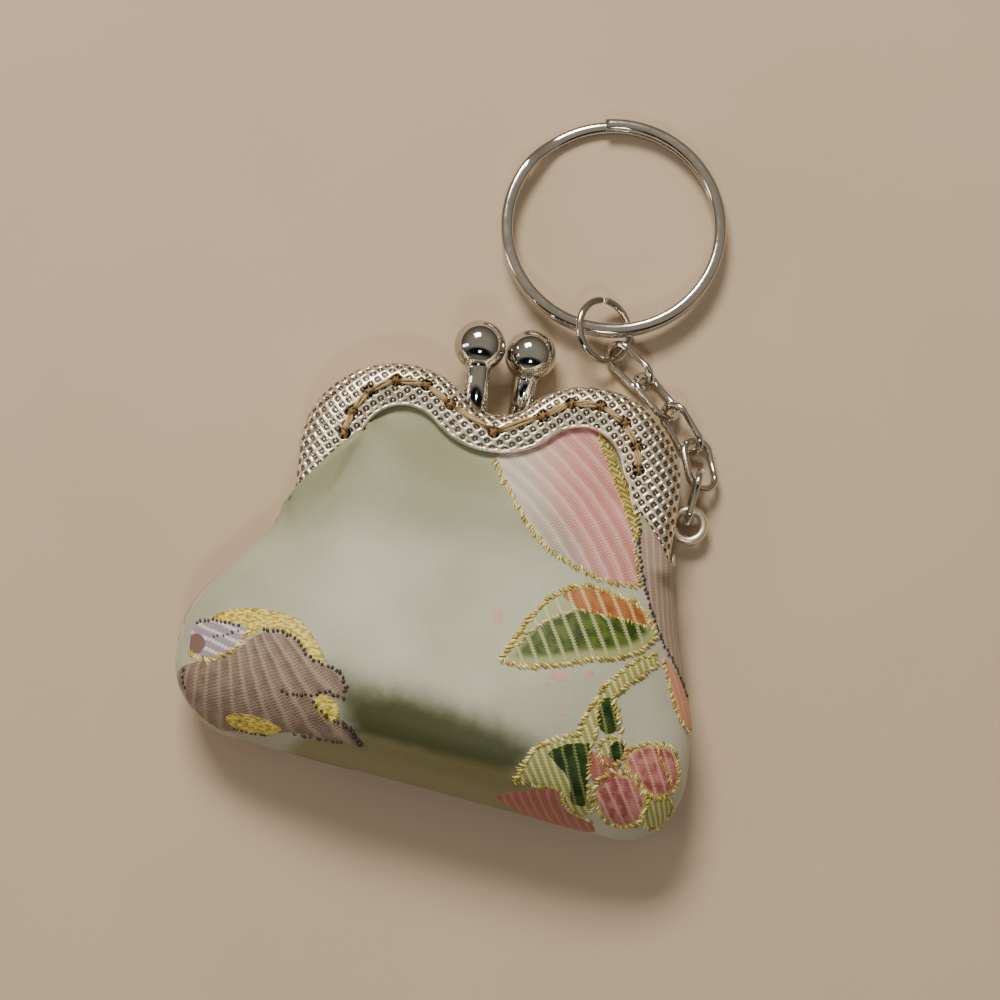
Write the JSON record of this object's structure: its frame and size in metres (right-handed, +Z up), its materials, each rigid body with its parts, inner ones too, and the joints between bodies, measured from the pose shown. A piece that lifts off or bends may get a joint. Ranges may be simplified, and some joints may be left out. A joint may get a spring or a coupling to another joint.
{
  "type": "embroidered kiss-lock coin purse on a key ring",
  "caption": "Small soft coin purse of patterned satin with a knurled metal kiss-lock frame, a short side chain and a split key ring.",
  "frame": {"origin": "below the middle of the whole part's box, on the surface that it lies on", "axes": "+Z up from the surface, +Y from the purse's bottom edge to its clasp and key ring, +X to the side that the chain is on"},
  "size_m": [0.0682, 0.0958, 0.0198],
  "materials": {
    "satin": "woven satin, patterned",
    "knurled_nickel": "knurled nickel plate",
    "polished_nickel": "polished nickel plate",
    "ring_nickel": "nickel plate, lightly worn"
  },
  "bodies": {
    "root": {"purse_body": "satin", "frame_front": "knurled_nickel", "frame_back": "knurled_nickel", "hinge_rivet_left": "knurled_nickel", "hinge_rivet_right": "knurled_nickel", "clasp_ball_front": "polished_nickel", "clasp_ball_back": "polished_nickel", "link_1": "ring_nickel", "link_2": "ring_nickel", "link_3": "ring_nickel", "link_4": "ring_nickel", "link_5": "ring_nickel", "jump_ring": "ring_nickel", "split_ring": "ring_nickel"}
  },
  "joints": []
}
